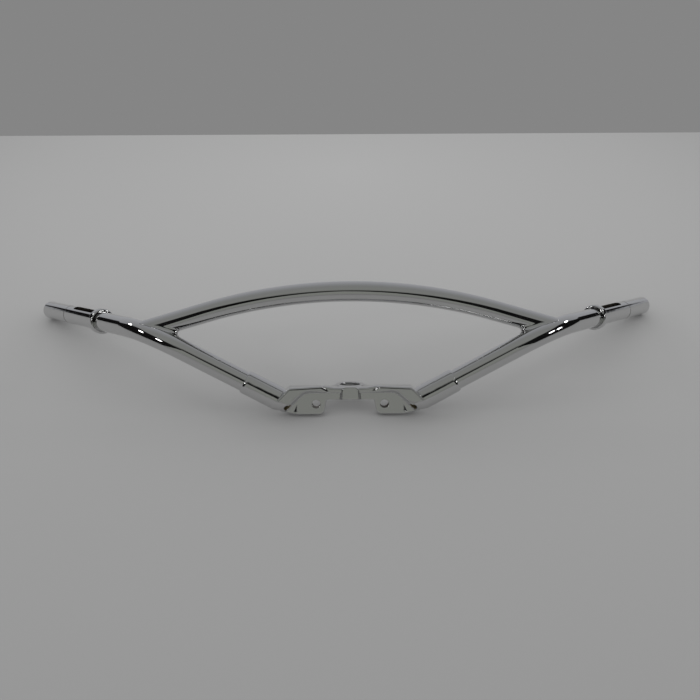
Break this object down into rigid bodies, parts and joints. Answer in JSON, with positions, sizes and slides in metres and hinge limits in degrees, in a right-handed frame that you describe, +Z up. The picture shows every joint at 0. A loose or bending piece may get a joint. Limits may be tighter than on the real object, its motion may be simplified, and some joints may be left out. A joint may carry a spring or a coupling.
{
  "type": "motorbike handlebar",
  "caption": "Chromed pull-back handlebar with a bowed crossbar, a forged centre with bolt ears and a stem eye, stop collars and slotted grip ends.",
  "frame": {"origin": "middle of the bounding box, on the surface the bar lies on", "axes": "+X to the rider's right hand when seated, +Y towards the rider, +Z up, lying on the ear bottoms and the bar ends"},
  "size_m": [0.8942, 0.267, 0.1576],
  "materials": {
    "forged_chrome": "polished chrome plate on forged steel",
    "tube_chrome": "polished chrome plate on steel tube",
    "collar_chrome": "polished chrome plate on turned steel"
  },
  "bodies": {
    "root": {"center_forging": "forged_chrome", "left_bar_tube": "tube_chrome", "right_bar_tube": "tube_chrome", "crossbar": "tube_chrome", "left_collar": "collar_chrome", "right_collar": "collar_chrome"}
  },
  "joints": []
}
